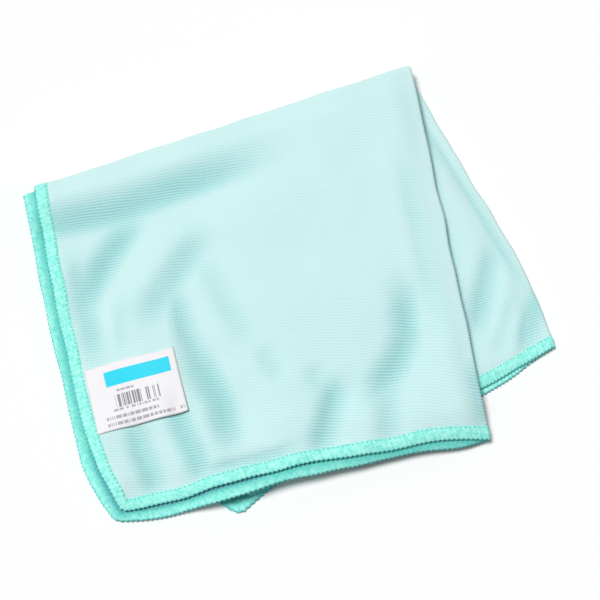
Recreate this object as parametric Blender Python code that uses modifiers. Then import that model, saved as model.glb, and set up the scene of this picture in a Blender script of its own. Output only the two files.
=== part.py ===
"""A microfibre cloth folded in four, lower half fanned out, with the label sewn into its hem.

The cloth starts as a flat grid. It is folded in half over its right side, and the two layers are
then folded over the top, so that four layers lie on the table. Going down they are the face,
lining, fan and base layers. The tables hold the outline that each one lies in.
Lengths are in millimetres until the points are placed, which makes them metres.
"""

import math
from collections import namedtuple

import bmesh
import bpy
import numpy as np
from mathutils import Vector
from mathutils.bvhtree import BVHTree

MM = 0.001

# The cloth as it is cut and hemmed
HALF_WIDTH = 200.0
HALF_LENGTH = 200.0
SHEET_THICKNESS = 1.2
HEM_THICKNESS = 1.7
HEM_WIDTH = 6.6
HEM_STEP = 0.8

# How the layers lie on each other
LAYER_PITCH = 2.2
SIDE_RADIUS = LAYER_PITCH / 2
TOP_RADIUS = LAYER_PITCH
SUPPORT_MARGIN = 3.0
SAG_REACH = 24.0
RELIEF_FADE = 16.0
UPPER_REST_LIFT = 1.5
FAN_REST_LIFT = 0.9

# How finely the grid follows it
BEND_STEPS = 3
PANEL_STEPS = 15

# The label, in the plan
LABEL_CORNER = (-106.9, -75.1)
LABEL_TURN = math.radians(14.2)
LABEL_WIDTH = 49.5
LABEL_HEIGHT = 35.3
LABEL_THICKNESS = 1.0
LABEL_GAP = 0.45
LABEL_FREE_EDGE_LIFT = 1.3
LABEL_COLUMNS = 9
LABEL_ROWS = 6

EdgeRow = namedtuple("EdgeRow", "share x y")
Crease = namedtuple("Crease", "x1 y1 x2 y2 width height")

# The folded outline in the plan. The top fold is straight, and the other edges are given
# share by share from the top fold down, or from the side fold to the side hem.
FOLD_PEAK = (61.8, 136.5)
FACE_TOP_LEFT = (-146.7, 63.4)
LINING_TOP_LEFT = (-153.4, 61.0)

UPPER_SIDE_FOLD = (
    EdgeRow(0.00, *FOLD_PEAK),
    EdgeRow(0.25, 71.6, 81.6),
    EdgeRow(0.50, 81.2, 29.6),
    EdgeRow(0.74, 90.5, -20.7),
    EdgeRow(0.96, 99.4, -68.6),
    EdgeRow(1.00, 101.3, -77.2),
)
FAN_SIDE_FOLD = (
    EdgeRow(0.00, *FOLD_PEAK),
    EdgeRow(0.16, 74.0, 111.0),
    EdgeRow(0.29, 84.8, 91.1),
    EdgeRow(0.47, 99.7, 62.7),
    EdgeRow(0.67, 117.4, 30.1),
    EdgeRow(0.78, 125.0, 12.9),
    EdgeRow(0.89, 131.8, -5.2),
    EdgeRow(1.00, 138.2, -25.6),
)
FACE_SIDE_HEM = (
    EdgeRow(0.00, -146.7, 61.1),
    EdgeRow(0.19, -139.6, 27.4),
    EdgeRow(0.42, -130.0, -14.4),
    EdgeRow(0.60, -121.9, -46.9),
    EdgeRow(0.74, -114.6, -71.6),
    EdgeRow(0.87, -105.9, -93.5),
    EdgeRow(1.00, -93.8, -115.0),
)
LINING_SIDE_HEM = (
    EdgeRow(0.00, -153.4, 55.4),
    EdgeRow(0.27, -142.3, 6.8),
    EdgeRow(0.49, -132.2, -33.0),
    EdgeRow(0.68, -122.7, -66.6),
    EdgeRow(0.83, -114.2, -94.0),
    EdgeRow(0.93, -105.0, -110.2),
    EdgeRow(1.00, -97.0, -119.4),
)
FAN_SIDE_HEM = (
    EdgeRow(0.00, -153.4, 55.4),
    EdgeRow(0.50, -92.0, -22.0),
    EdgeRow(1.00, -27.0, -107.5),
)
BASE_SIDE_HEM = (
    EdgeRow(0.00, -146.7, 61.1),
    EdgeRow(0.50, -99.0, -26.0),
    EdgeRow(0.85, -60.0, -88.0),
    EdgeRow(0.95, -46.5, -107.0),
    EdgeRow(1.00, -32.0, -117.0),
)
FACE_END_HEM = (
    EdgeRow(0.00, 101.3, -77.2),
    EdgeRow(0.15, 71.0, -78.7),
    EdgeRow(0.28, 45.5, -84.3),
    EdgeRow(0.43, 15.9, -88.6),
    EdgeRow(0.66, -27.4, -98.7),
    EdgeRow(0.85, -65.3, -109.2),
    EdgeRow(1.00, -93.8, -115.0),
)
LINING_END_HEM = (
    EdgeRow(0.00, 101.3, -77.2),
    EdgeRow(0.09, 84.4, -81.2),
    EdgeRow(0.16, 69.3, -82.6),
    EdgeRow(0.32, 38.1, -89.6),
    EdgeRow(0.53, -3.2, -98.8),
    EdgeRow(0.75, -48.0, -111.9),
    EdgeRow(0.92, -80.5, -119.3),
    EdgeRow(1.00, -97.0, -119.4),
)
FAN_END_HEM = (
    EdgeRow(0.00, 138.2, -25.6),
    EdgeRow(0.13, 118.7, -37.6),
    EdgeRow(0.26, 99.5, -48.6),
    EdgeRow(1.00, -27.0, -107.5),
)
BASE_END_HEM = (
    EdgeRow(0.00, 138.2, -25.6),
    EdgeRow(0.12, 118.8, -40.4),
    EdgeRow(0.89, -15.4, -105.9),
    EdgeRow(1.00, -32.0, -117.0),
)

# Soft ridges (height above 0) and troughs (below 0) of the upper two layers
UPPER_CREASES = (
    Crease(-118.0, 46.0, -30.0, 76.0, 13.0, -0.9),
    Crease(-30.0, 76.0, 22.0, 107.0, 11.0, -0.5),
    Crease(-122.0, 9.0, -103.0, 29.0, 12.0, -0.9),
    Crease(-108.0, 3.0, -75.0, 40.0, 11.0, 1.0),
    Crease(-85.0, -4.0, -69.0, 15.0, 12.0, -0.9),
    Crease(-66.0, -12.0, -45.0, -66.0, 14.0, -0.9),
    Crease(50.0, 2.0, 50.0, -32.0, 15.0, -0.8),
    Crease(44.0, -38.0, 40.0, -66.0, 12.0, -0.8),
    Crease(10.0, -52.0, 10.0, -75.0, 9.0, -0.7),
    Crease(-50.0, -94.0, -18.0, -85.0, 10.0, -0.8),
)
FAN_CREASES = (
    Crease(101.0, 32.0, 94.0, -6.0, 12.0, -0.7),
    Crease(126.0, 0.0, 119.0, -24.0, 10.0, -0.8),
)

Layer = namedtuple("Layer", "outer_half upper side_fold side_hem end_hem top_left")
FACE = Layer(True, True, UPPER_SIDE_FOLD, FACE_SIDE_HEM, FACE_END_HEM, FACE_TOP_LEFT)
LINING = Layer(False, True, UPPER_SIDE_FOLD, LINING_SIDE_HEM, LINING_END_HEM, LINING_TOP_LEFT)
FAN = Layer(False, False, FAN_SIDE_FOLD, FAN_SIDE_HEM, FAN_END_HEM, LINING_TOP_LEFT)
BASE = Layer(True, False, FAN_SIDE_FOLD, BASE_SIDE_HEM, BASE_END_HEM, FACE_TOP_LEFT)
LAYERS = (FACE, LINING, FAN, BASE)


def smooth_step(value):
    """Returns 0 up to 0 and 1 from 1 on, with a smooth rise between."""
    value = np.clip(value, 0.0, 1.0)
    return value * value * (3.0 - 2.0 * value)


def unit(vectors):
    """Returns plan vectors at length 1."""
    return vectors / np.linalg.norm(vectors, axis=-1, keepdims=True)


def edge_points(rows, shares):
    """Returns the points at some shares of an edge, on a smooth curve through its rows."""
    knots = np.array([row.share for row in rows])
    points = np.array([(row.x, row.y) for row in rows])
    slopes = np.gradient(points, knots, axis=0)
    index = np.clip(np.searchsorted(knots, shares, side="right") - 1, 0, len(rows) - 2)
    span = (knots[index + 1] - knots[index])[:, None]
    part = (shares[:, None] - knots[index][:, None]) / span
    start, end = points[index], points[index + 1]
    leave, arrive = slopes[index] * span, slopes[index + 1] * span
    return (
        start * (1 + 2 * part) * (1 - part) ** 2
        + leave * part * (1 - part) ** 2
        + end * part**2 * (3 - 2 * part)
        + arrive * part**2 * (part - 1)
    )


def pinned_edge(rows, shares, first, last):
    """Returns an edge's points, drawn so that the edge starts and ends at two given corners."""
    ends = edge_points(rows, np.array([0.0, 1.0]))
    along = shares[:, None]
    return (
        edge_points(rows, shares)
        + (first - ends[0]) * (1.0 - along)
        + (last - ends[1]) * along
    )


TOP_ALONG = unit(np.array(FOLD_PEAK) - np.array(FACE_TOP_LEFT))
TOP_OUT = np.array([-TOP_ALONG[1], TOP_ALONG[0]])
TOP_INSET = TOP_RADIUS + SIDE_RADIUS + SHEET_THICKNESS / 2
SIDE_INSET = SIDE_RADIUS + SHEET_THICKNESS / 2


def side_out(layer, shares):
    """Returns the way out of the side fold at some shares down it."""
    step = 0.02
    low = edge_points(layer.side_fold, np.clip(shares - step, 0.0, 1.0))
    high = edge_points(layer.side_fold, np.clip(shares + step, 0.0, 1.0))
    along = unit(high - low)
    square = np.stack([-along[:, 1], along[:, 0]], axis=1)
    turn = smooth_step(shares * HALF_LENGTH / RELIEF_FADE)[:, None]
    return unit(TOP_ALONG * (1.0 - turn) + square * turn)


def side_axis(layer, shares):
    """Returns the middle line of the side fold's roll, which starts on the top fold's axis."""
    line = edge_points(layer.side_fold, shares) - side_out(layer, shares) * SIDE_INSET
    return line - TOP_OUT * TOP_INSET * (1.0 - shares)[:, None]


def panel(layer, across, down):
    """Returns plan points of one layer, from shares across it from the side fold and down it."""
    corner_fold = side_axis(layer, np.array([0.0]))[0]
    corner_end = side_axis(layer, np.array([1.0]))[0]
    corner_top = np.array(layer.top_left) - TOP_OUT * TOP_INSET
    corner_low = np.array([layer.end_hem[-1].x, layer.end_hem[-1].y])
    a, d = across[:, None], down[:, None]
    top = corner_fold * (1 - a) + corner_top * a
    end = pinned_edge(layer.end_hem, across, corner_end, corner_low)
    fold = side_axis(layer, down)
    hem = pinned_edge(layer.side_hem, down, corner_top, corner_low)
    corners = (
        corner_fold * (1 - a) * (1 - d)
        + corner_top * a * (1 - d)
        + corner_end * (1 - a) * d
        + corner_low * a * d
    )
    return top * (1 - d) + end * d + fold * (1 - a) + hem * a - corners


def outline(side_layer, low_layer):
    """Returns a closed outline in the plan: side fold, end hem, and back along the side hem."""
    shares = np.linspace(0.0, 1.0, 25)
    nothing, whole = np.zeros_like(shares), np.ones_like(shares)
    fold = panel(low_layer, nothing, shares)
    end = panel(low_layer, shares, whole)
    hem = panel(side_layer, whole, shares[::-1])
    return np.concatenate([fold, end[1:], hem[1:]])


def depth_inside(loop, points):
    """Returns how far each plan point lies inside a closed outline, less than 0 outside."""
    start, end = loop, np.roll(loop, -1, axis=0)
    run = end - start
    offset = points[:, None, :] - start[None, :, :]
    length = np.maximum((run**2).sum(axis=1), 1e-9)
    part = np.clip((offset * run).sum(axis=2) / length, 0.0, 1.0)
    distance = np.linalg.norm(offset - part[:, :, None] * run, axis=2).min(axis=1)
    above = (start[None, :, 1] > points[:, None, 1]) != (end[None, :, 1] > points[:, None, 1])
    rise = np.where(np.abs(run[:, 1]) < 1e-9, 1e-9, run[:, 1])
    crossing = start[:, 0] + (points[:, None, 1] - start[:, 1]) * run[:, 0] / rise
    inside = (above & (points[:, None, 0] < crossing)).sum(axis=1) % 2 == 1
    return np.where(inside, distance, -distance)


def relief(creases, rest_lift, depth, points):
    """Returns how far the soft ridges and troughs lift a layer, never below 0."""
    lift = np.full(len(points), rest_lift)
    for crease in creases:
        start = np.array([crease.x1, crease.y1])
        run = np.array([crease.x2, crease.y2]) - start
        part = np.clip(((points - start) @ run) / (run @ run), 0.0, 1.0)
        distance = np.linalg.norm(points - start - part[:, None] * run, axis=1)
        lift += crease.height * smooth_step(1.0 - distance / crease.width)
    return np.maximum(lift, 0.0) * smooth_step(depth / RELIEF_FADE)


def around_bend(distance, radius):
    """Returns how far inside a fold's axis a point lies, and its share of the fold's rise."""
    arc = radius * math.pi / 2
    angle = np.minimum(distance, arc) / radius
    inside = np.where(distance < arc, -radius * np.cos(angle), distance - arc)
    return inside, np.sin(angle)


def place_layer(layer, across, down, thickness, loops):
    """Returns points of one layer, from distances across and down the sheet from its folds."""
    side_inside, side_rise = around_bend(across, SIDE_RADIUS)
    top_inside, top_rise = around_bend(down, TOP_RADIUS)
    across_share = np.clip(side_inside, 0.0, None) / (HALF_WIDTH - SIDE_RADIUS * math.pi / 2)
    down_share = np.clip(top_inside, 0.0, None) / (HALF_LENGTH - TOP_RADIUS * math.pi / 2)
    strip_radius = TOP_RADIUS + (1 if layer.outer_half else -1) * SIDE_RADIUS * side_rise
    plan = panel(layer, across_share, down_share)
    plan += side_out(layer, down_share) * np.clip(-side_inside, 0.0, None)[:, None]
    plan += TOP_OUT * (np.clip(-top_inside, 0.0, None) / TOP_RADIUS * strip_radius)[:, None]

    rise = 1.5 * LAYER_PITCH + (1 if layer.upper else -1) * strip_radius * top_rise
    fan_depth = depth_inside(loops["fan"], plan)
    fan_relief = relief(FAN_CREASES, FAN_REST_LIFT, fan_depth, plan)
    upper_relief = relief(
        UPPER_CREASES, UPPER_REST_LIFT, depth_inside(loops["upper"], plan), plan
    )
    if layer.upper:
        sag = smooth_step((-fan_depth - SUPPORT_MARGIN) / SAG_REACH)
        rise += fan_relief - 2.0 * LAYER_PITCH * sag * smooth_step(down_share * 12.0)
        rise += upper_relief * (1.0 if layer is FACE else 0.5)
    elif layer is FAN:
        rise += fan_relief
    return np.column_stack([plan, rise + thickness / 2])


def stations(half, radius):
    """Returns where the grid's lines lie from a fold to the hem, bunched in both."""
    arc = radius * math.pi / 2
    bend = np.linspace(0.0, arc, BEND_STEPS + 1)
    inner_hem = half - HEM_WIDTH
    field = np.linspace(arc, inner_hem - HEM_STEP, PANEL_STEPS + 1)[1:]
    return np.concatenate([bend, field, [inner_hem, half]])


def both_ways(lines):
    """Returns the lines of one half, mirrored to both sides of the fold."""
    return np.concatenate([-lines[:0:-1], lines])


def flat_grid(columns, rows):
    """Returns a new flat grid and the column and row that each of its points is in."""
    grid = bmesh.new()
    bmesh.ops.create_grid(grid, x_segments=columns, y_segments=rows, size=1.0)
    grid.verts.ensure_lookup_table()
    column = [round((point.co.x + 1.0) / 2.0 * columns) for point in grid.verts]
    row = [round((point.co.y + 1.0) / 2.0 * rows) for point in grid.verts]
    return grid, np.array(column), np.array(row)


def finish_mesh(name, grid, points, material, collection):
    """Places a grid's points and returns it as an object."""
    for vertex, point in zip(grid.verts, points):
        vertex.co = Vector(point) * MM
    mesh = bpy.data.meshes.new(name)
    grid.to_mesh(mesh)
    grid.free()
    mesh.shade_smooth()
    mesh.materials.append(material)
    thing = bpy.data.objects.new(name, mesh)
    collection.objects.link(thing)
    return thing


def fabric(name, colour, roughness):
    """Returns a matt cloth material."""
    material = bpy.data.materials.new(name)
    material.use_nodes = True
    shader = material.node_tree.nodes["Principled BSDF"]
    shader.inputs["Base Color"].default_value = (*colour, 1.0)
    shader.inputs["Roughness"].default_value = roughness
    shader.inputs["Metallic"].default_value = 0.0
    material.diffuse_color = (*colour, 1.0)
    return material


def make_cloth(collection):
    """Makes the folded cloth, hems and all, as one sheet."""
    across_lines = both_ways(stations(HALF_WIDTH, SIDE_RADIUS))
    down_lines = both_ways(stations(HALF_LENGTH, TOP_RADIUS))
    grid, column, row = flat_grid(len(across_lines) - 1, len(down_lines) - 1)
    across, down = across_lines[column], down_lines[row]
    from_hem = np.minimum(HALF_WIDTH - np.abs(across), HALF_LENGTH - np.abs(down))
    in_hem = from_hem <= HEM_WIDTH + HEM_STEP / 2
    thickness = np.where(in_hem, HEM_THICKNESS, SHEET_THICKNESS)

    loops = {"upper": outline(LINING, FACE), "fan": outline(FAN, BASE)}
    points = np.zeros((len(across), 3))
    for layer in LAYERS:
        chosen = ((across < 0) == layer.outer_half) & ((down < 0) == layer.upper)
        points[chosen] = place_layer(
            layer, np.abs(across[chosen]), np.abs(down[chosen]), thickness[chosen], loops
        )
    bmesh.ops.reverse_faces(grid, faces=grid.faces)
    cloth = finish_mesh(
        "cloth", grid, points, fabric("cloth fabric", (0.62, 0.87, 0.86), 0.85), collection
    )
    hem = cloth.vertex_groups.new(name="hem")
    hem.add([int(index) for index in np.flatnonzero(in_hem)], 1.0, "REPLACE")
    wall = cloth.modifiers.new("thickness", "SOLIDIFY")
    wall.thickness = HEM_THICKNESS * MM
    wall.offset = 0.0
    wall.vertex_group = hem.name
    wall.thickness_vertex_group = SHEET_THICKNESS / HEM_THICKNESS
    return cloth


def make_label(collection, cloth):
    """Makes the label, dropped onto the cloth, its lower edge standing a little off it."""
    grid, column, row = flat_grid(LABEL_COLUMNS, LABEL_ROWS)
    surface = BVHTree.FromObject(cloth, bpy.context.evaluated_depsgraph_get())
    along = Vector((math.cos(LABEL_TURN), math.sin(LABEL_TURN), 0.0))
    up = Vector((-along.y, along.x, 0.0))
    high = Vector((*LABEL_CORNER, 100.0))
    points = []
    for right_step, up_step in zip(column, row):
        place = high + along * LABEL_WIDTH * float(right_step) / LABEL_COLUMNS
        place += up * LABEL_HEIGHT * float(up_step) / LABEL_ROWS
        hit = surface.ray_cast(place * MM, Vector((0.0, 0.0, -1.0)))[0]
        free = (1.0 - up_step / LABEL_ROWS) ** 3 * right_step / LABEL_COLUMNS
        place.z = hit.z / MM + LABEL_GAP + LABEL_FREE_EDGE_LIFT * free
        points.append(place)
    label = finish_mesh(
        "label", grid, points, fabric("label fabric", (0.86, 0.87, 0.87), 0.55), collection
    )
    wall = label.modifiers.new("thickness", "SOLIDIFY")
    wall.thickness = LABEL_THICKNESS * MM
    wall.offset = 1.0
    return label


def centre_on_footprint(cloth, things):
    """Moves the things' points so that the cloth's footprint is centred on the origin."""
    shape = cloth.evaluated_get(bpy.context.evaluated_depsgraph_get())
    corners = [Vector(corner) for corner in shape.bound_box]
    low = Vector([min(corner[axis] for corner in corners) for axis in range(3)])
    high = Vector([max(corner[axis] for corner in corners) for axis in range(3)])
    shift = Vector(((low.x + high.x) / 2, (low.y + high.y) / 2, low.z))
    for thing in things:
        for vertex in thing.data.vertices:
            vertex.co -= shift


def main():
    for thing in list(bpy.data.objects):
        bpy.data.objects.remove(thing, do_unlink=True)
    collection = bpy.data.collections.new("microfibre cloth")
    bpy.context.scene.collection.children.link(collection)
    cloth = make_cloth(collection)
    label = make_label(collection, cloth)
    centre_on_footprint(cloth, (cloth, label))


main()
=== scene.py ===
"""Dressed model of a folded microfibre cloth: its ribbed sheet, overlocked hem and sewn-in label.

The cloth is drawn flat, then folded in half over its right side and in half again over the top,
which gives four layers: going down, the face, lining, fan and base. The outline of each layer
and the soft creases in them are in the tables. Lengths are in millimetres until a piece is
finished, which makes them metres.
"""

import math
from collections import namedtuple

import bmesh
import bpy
import numpy as np
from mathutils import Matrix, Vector, noise
from mathutils.bvhtree import BVHTree


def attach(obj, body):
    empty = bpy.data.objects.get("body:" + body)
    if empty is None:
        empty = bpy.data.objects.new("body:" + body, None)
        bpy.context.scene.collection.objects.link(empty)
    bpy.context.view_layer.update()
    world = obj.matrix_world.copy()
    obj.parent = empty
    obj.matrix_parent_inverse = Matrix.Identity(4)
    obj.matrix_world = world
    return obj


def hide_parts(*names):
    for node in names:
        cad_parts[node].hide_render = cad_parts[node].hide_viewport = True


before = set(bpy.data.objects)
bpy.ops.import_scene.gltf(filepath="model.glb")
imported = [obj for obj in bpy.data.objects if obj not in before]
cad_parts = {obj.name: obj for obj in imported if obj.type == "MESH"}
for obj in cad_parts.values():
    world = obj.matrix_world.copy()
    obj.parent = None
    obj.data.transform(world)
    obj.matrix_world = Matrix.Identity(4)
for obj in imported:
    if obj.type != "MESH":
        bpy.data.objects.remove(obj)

bl_info = {
    "name": "Microfibre cloth",
    "version": (1, 0, 0),
    "blender": (4, 5, 0),
    "location": "3D View > Sidebar > Cloth",
    "description": "A folded, ribbed microfibre cloth with an overlocked hem and a label",
    "category": "Add Mesh",
}

MM = 0.001
QUARTER_TURN = math.pi / 2
TINY = 1e-9

# The cloth as it is cut and hemmed. The sheet rises to the middle of its thicker hem over a
# share of the hem's width.
HALF_WIDTH = 200.0
HALF_LENGTH = 200.0
SHEET_THICKNESS = 1.2
HEM_WIDTH = 6.6
HEM_BLEND = 0.6
HEM_HALF_THICKNESS = 0.95
CORNER_RADIUS = 3.4

# How the layers lie on each other, how far down its fold the side's way out turns from the top
# fold's line, and the middle of the folded cloth in the plan, which is put on the frame's origin
LAYER_PITCH = 2.2
SIDE_RADIUS = LAYER_PITCH / 2
TOP_RADIUS = LAYER_PITCH
TOP_FOLD_HEIGHT = 1.5 * LAYER_PITCH
SIDE_TURN = 16.0
FOOTPRINT_CENTRE = (-7.158, 8.257, 0.0)

# How the upper layers sag where the fan doesn't carry them: from how far outside it, over what
# reach and how deep. They are held up by the top fold over a part of their length.
SUPPORT_MARGIN = 1.0
SAG_REACH = 36.0
SAG_DEPTH = 2 * LAYER_PITCH
HELD_BY_FOLD = 1 / 12

# How high the layers puff up, the share of it that is left at the hems, how much of that share
# goes where they sag, and the shares that are left at the two folds. The face takes a little
# more of it than the mean of the two upper layers, and the lining as much less.
UPPER_REST_LIFT = 4.6
FAN_REST_LIFT = 2.4
HEM_REST = 0.64
HEM_SETTLE = 0.46
RELIEF_FADE = 18.0
TOP_PUFF = 0.68
SIDE_PUFF = 0.5
PUFF_REACH = 12.0
MEAN_PUFF = 0.875
FACE_EXTRA_PUFF = 0.125

# How the creases fade: over a distance from a hem, and over a share of their path at each end
CREASE_FADE = 9.0
CREASE_TAPER = 0.34

# How the shade painted in them grows: in full at one depth, a little sooner on the steep side,
# and no further than a reach on the other
FULL_SHADE_DEPTH = 4.4
STEEP_GAIN = 1.25
CREASE_SHADE_REACH = 9.5

# How far shade is painted on a lower layer from the edge of the one above, what that adds to
# the crease value, and the share of it that the fan takes
CONTACT_REACH = 6.5
CONTACT_SHADE = 2.0
FAN_CONTACT = 0.45

# How uneven the sheet is, up and down and in the plan, and how far apart the noise for its two
# ways in the plan is taken
UNEVENNESS = 0.6
UNEVEN_REACH = 26.0
WANDER = 0.8
WANDER_REACH = 19.0
WANDER_APART = 7.0

# How finely the mesh follows it, how far inside the hem's edge the sheet ends, and the steps
# over which the slopes of the side fold and of the hem are taken
BEND_STEPS = 6
OUTLINE_STEPS = 24
PANEL_STEPS = 74
SHEET_INSET = 0.8
FOLD_SLOPE_SHARE = 0.02
HEM_SLOPE_STEP = 0.2
MERGE_DISTANCE = 1e-4

EdgeRow = namedtuple("EdgeRow", "share x y")
Crease = namedtuple("Crease", "left right depth path")

# The folded outline in the plan. The top fold is straight, and the other edges are given
# share by share from the top fold down, or from the side fold to the side hem.
FOLD_PEAK = (61.8, 136.5)
FACE_TOP_LEFT = (-146.7, 63.4)
LINING_TOP_LEFT = (-153.4, 61.0)

UPPER_SIDE_FOLD = (
    EdgeRow(0.00, *FOLD_PEAK),
    EdgeRow(0.25, 71.6, 81.6),
    EdgeRow(0.50, 81.2, 29.6),
    EdgeRow(0.74, 90.5, -20.7),
    EdgeRow(0.96, 99.4, -68.6),
    EdgeRow(1.00, 101.3, -77.2),
)
FAN_SIDE_FOLD = (
    EdgeRow(0.00, *FOLD_PEAK),
    EdgeRow(0.16, 74.0, 111.0),
    EdgeRow(0.29, 84.8, 91.1),
    EdgeRow(0.47, 99.7, 62.7),
    EdgeRow(0.67, 117.4, 30.1),
    EdgeRow(0.78, 125.0, 12.9),
    EdgeRow(0.89, 131.8, -5.2),
    EdgeRow(1.00, 138.2, -25.6),
)
FACE_SIDE_HEM = (
    EdgeRow(0.00, -146.7, 61.1),
    EdgeRow(0.19, -139.6, 27.4),
    EdgeRow(0.42, -130.0, -14.4),
    EdgeRow(0.60, -121.9, -46.9),
    EdgeRow(0.74, -114.6, -71.6),
    EdgeRow(0.87, -105.9, -93.5),
    EdgeRow(1.00, -93.8, -115.0),
)
LINING_SIDE_HEM = (
    EdgeRow(0.00, -153.4, 55.4),
    EdgeRow(0.27, -142.3, 6.8),
    EdgeRow(0.49, -132.2, -33.0),
    EdgeRow(0.68, -122.7, -66.6),
    EdgeRow(0.83, -114.2, -94.0),
    EdgeRow(0.93, -105.0, -110.2),
    EdgeRow(1.00, -97.0, -119.4),
)
FAN_SIDE_HEM = (
    EdgeRow(0.00, -153.4, 55.4),
    EdgeRow(0.50, -92.0, -22.0),
    EdgeRow(1.00, -27.0, -107.5),
)
BASE_SIDE_HEM = (
    EdgeRow(0.00, -146.7, 61.1),
    EdgeRow(0.50, -99.0, -26.0),
    EdgeRow(0.85, -60.0, -88.0),
    EdgeRow(0.95, -46.5, -107.0),
    EdgeRow(1.00, -32.0, -117.0),
)
FACE_END_HEM = (
    EdgeRow(0.00, 101.3, -77.2),
    EdgeRow(0.15, 71.0, -78.7),
    EdgeRow(0.28, 45.5, -84.3),
    EdgeRow(0.43, 15.9, -88.6),
    EdgeRow(0.66, -27.4, -98.7),
    EdgeRow(0.85, -65.3, -109.2),
    EdgeRow(1.00, -93.8, -115.0),
)
LINING_END_HEM = (
    EdgeRow(0.00, 101.3, -77.2),
    EdgeRow(0.09, 84.4, -81.2),
    EdgeRow(0.16, 69.3, -82.6),
    EdgeRow(0.32, 38.1, -89.6),
    EdgeRow(0.53, -3.2, -98.8),
    EdgeRow(0.75, -48.0, -111.9),
    EdgeRow(0.92, -80.5, -119.3),
    EdgeRow(1.00, -97.0, -119.4),
)
FAN_END_HEM = (
    EdgeRow(0.00, 138.2, -25.6),
    EdgeRow(0.13, 118.7, -37.6),
    EdgeRow(0.26, 99.5, -48.6),
    EdgeRow(1.00, -27.0, -107.5),
)
BASE_END_HEM = (
    EdgeRow(0.00, 138.2, -25.6),
    EdgeRow(0.12, 118.8, -40.4),
    EdgeRow(0.80, 6.0, -90.0),
    EdgeRow(0.90, -13.0, -101.5),
    EdgeRow(1.00, -32.0, -117.0),
)

# The soft creases of the upper two layers, and of the fan: how far each reaches to the left and
# right of its path, how deep it is, and the path in the plan. The side that reaches less far is
# the steep one, and both ends die out.
UPPER_CREASES = (
    Crease(
        34.0, 20.0, 4.4,
        ((0.0, 88.0), (-32.7, 72.0), (-73.6, 56.0), (-98.0, 45.5), (-122.6, 40.0), (-150.0, 34.0),
         (-190.0, 22.0)),
    ),
    Crease(
        30.0, 17.0, 4.4,
        ((-80.0, 54.0), (-90.0, 40.0), (-98.0, 28.0), (-106.0, 15.0), (-112.0, 3.0),
         (-115.0, -10.0), (-115.0, -26.0)),
    ),
    Crease(
        16.0, 12.0, 3.2,
        ((-124.0, 32.0), (-119.0, 12.0), (-115.0, -6.0), (-110.0, -26.0), (-103.0, -46.0)),
    ),
    Crease(28.0, 17.0, 2.8, ((-47.0, 42.0), (-60.0, 19.0), (-71.0, 2.0), (-88.0, -24.0))),
    Crease(12.0, 7.0, 1.1, ((-97.0, 4.0), (-96.0, -12.0), (-94.0, -36.0))),
    Crease(
        26.0, 10.0, 3.4,
        ((-71.0, 16.0), (-63.0, -14.0), (-60.0, -22.0), (-52.0, -38.0), (-44.0, -56.0)),
    ),
    Crease(
        34.0, 17.0, 4.2,
        ((-62.0, -16.0), (-50.0, -39.0), (-40.0, -57.0), (-36.0, -74.0), (-37.0, -94.0)),
    ),
    Crease(
        26.0, 12.0, 3.8,
        ((21.0, -38.0), (18.5, -56.0), (16.0, -66.0), (13.0, -76.0), (9.0, -94.0)),
    ),
    Crease(
        30.0, 15.0, 3.9,
        ((53.0, 18.0), (58.0, -3.0), (59.0, -22.0), (53.0, -38.0), (41.0, -54.0), (28.0, -64.0)),
    ),
    Crease(20.0, 13.0, 2.2, ((54.0, -34.0), (47.5, -56.0), (48.0, -90.0))),
    Crease(12.0, 9.0, 3.6, ((93.0, -32.0), (97.0, -58.0), (101.0, -78.0))),
    Crease(
        14.0, 7.0, 2.6,
        ((6.0, -80.0), (-12.0, -87.0), (-30.0, -91.0), (-45.0, -94.0), (-66.0, -98.0)),
    ),
    Crease(14.0, 11.0, 3.7, ((-91.0, -60.0), (-83.0, -84.0), (-77.0, -98.0), (-72.0, -114.0))),
    Crease(16.0, 12.0, 4.2, ((-70.0, -48.0), (-61.0, -72.0), (-54.0, -86.0), (-46.0, -108.0))),
    Crease(16.0, 10.0, 1.4, ((-22.0, -26.0), (-16.0, -38.0), (-8.0, -48.0))),
    Crease(14.0, 9.0, 1.4, ((4.0, -38.0), (10.0, -47.0), (18.0, -52.0))),
    Crease(14.0, 13.0, 1.5, ((-56.0, 32.0), (-48.0, 12.0), (-38.0, -6.0), (-20.0, -30.0))),
    Crease(14.0, 9.0, 1.3, ((54.0, 100.0), (61.0, 56.0), (68.0, 20.0), (76.0, -32.0))),
)
FAN_CREASES = (
    Crease(16.0, 10.0, 2.8, ((107.0, 38.0), (102.0, 10.0), (94.0, -26.0))),
    Crease(14.0, 9.0, 3.6, ((134.0, 16.0), (126.0, -10.0), (119.0, -36.0))),
    Crease(12.0, 8.0, 1.0, ((118.0, 8.0), (112.0, -14.0), (104.0, -38.0))),
    Crease(4.5, 2.8, 3.0, ((50.0, 131.0), (90.0, 66.0), (108.0, 34.0), (134.0, -14.0))),
)

Layer = namedtuple("Layer", "outer_half upper side_fold side_hem end_hem top_left")
FACE = Layer(True, True, UPPER_SIDE_FOLD, FACE_SIDE_HEM, FACE_END_HEM, FACE_TOP_LEFT)
LINING = Layer(False, True, UPPER_SIDE_FOLD, LINING_SIDE_HEM, LINING_END_HEM, LINING_TOP_LEFT)
FAN = Layer(False, False, FAN_SIDE_FOLD, FAN_SIDE_HEM, FAN_END_HEM, LINING_TOP_LEFT)
BASE = Layer(True, False, FAN_SIDE_FOLD, BASE_SIDE_HEM, BASE_END_HEM, FACE_TOP_LEFT)
LAYERS = (FACE, LINING, FAN, BASE)
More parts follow.
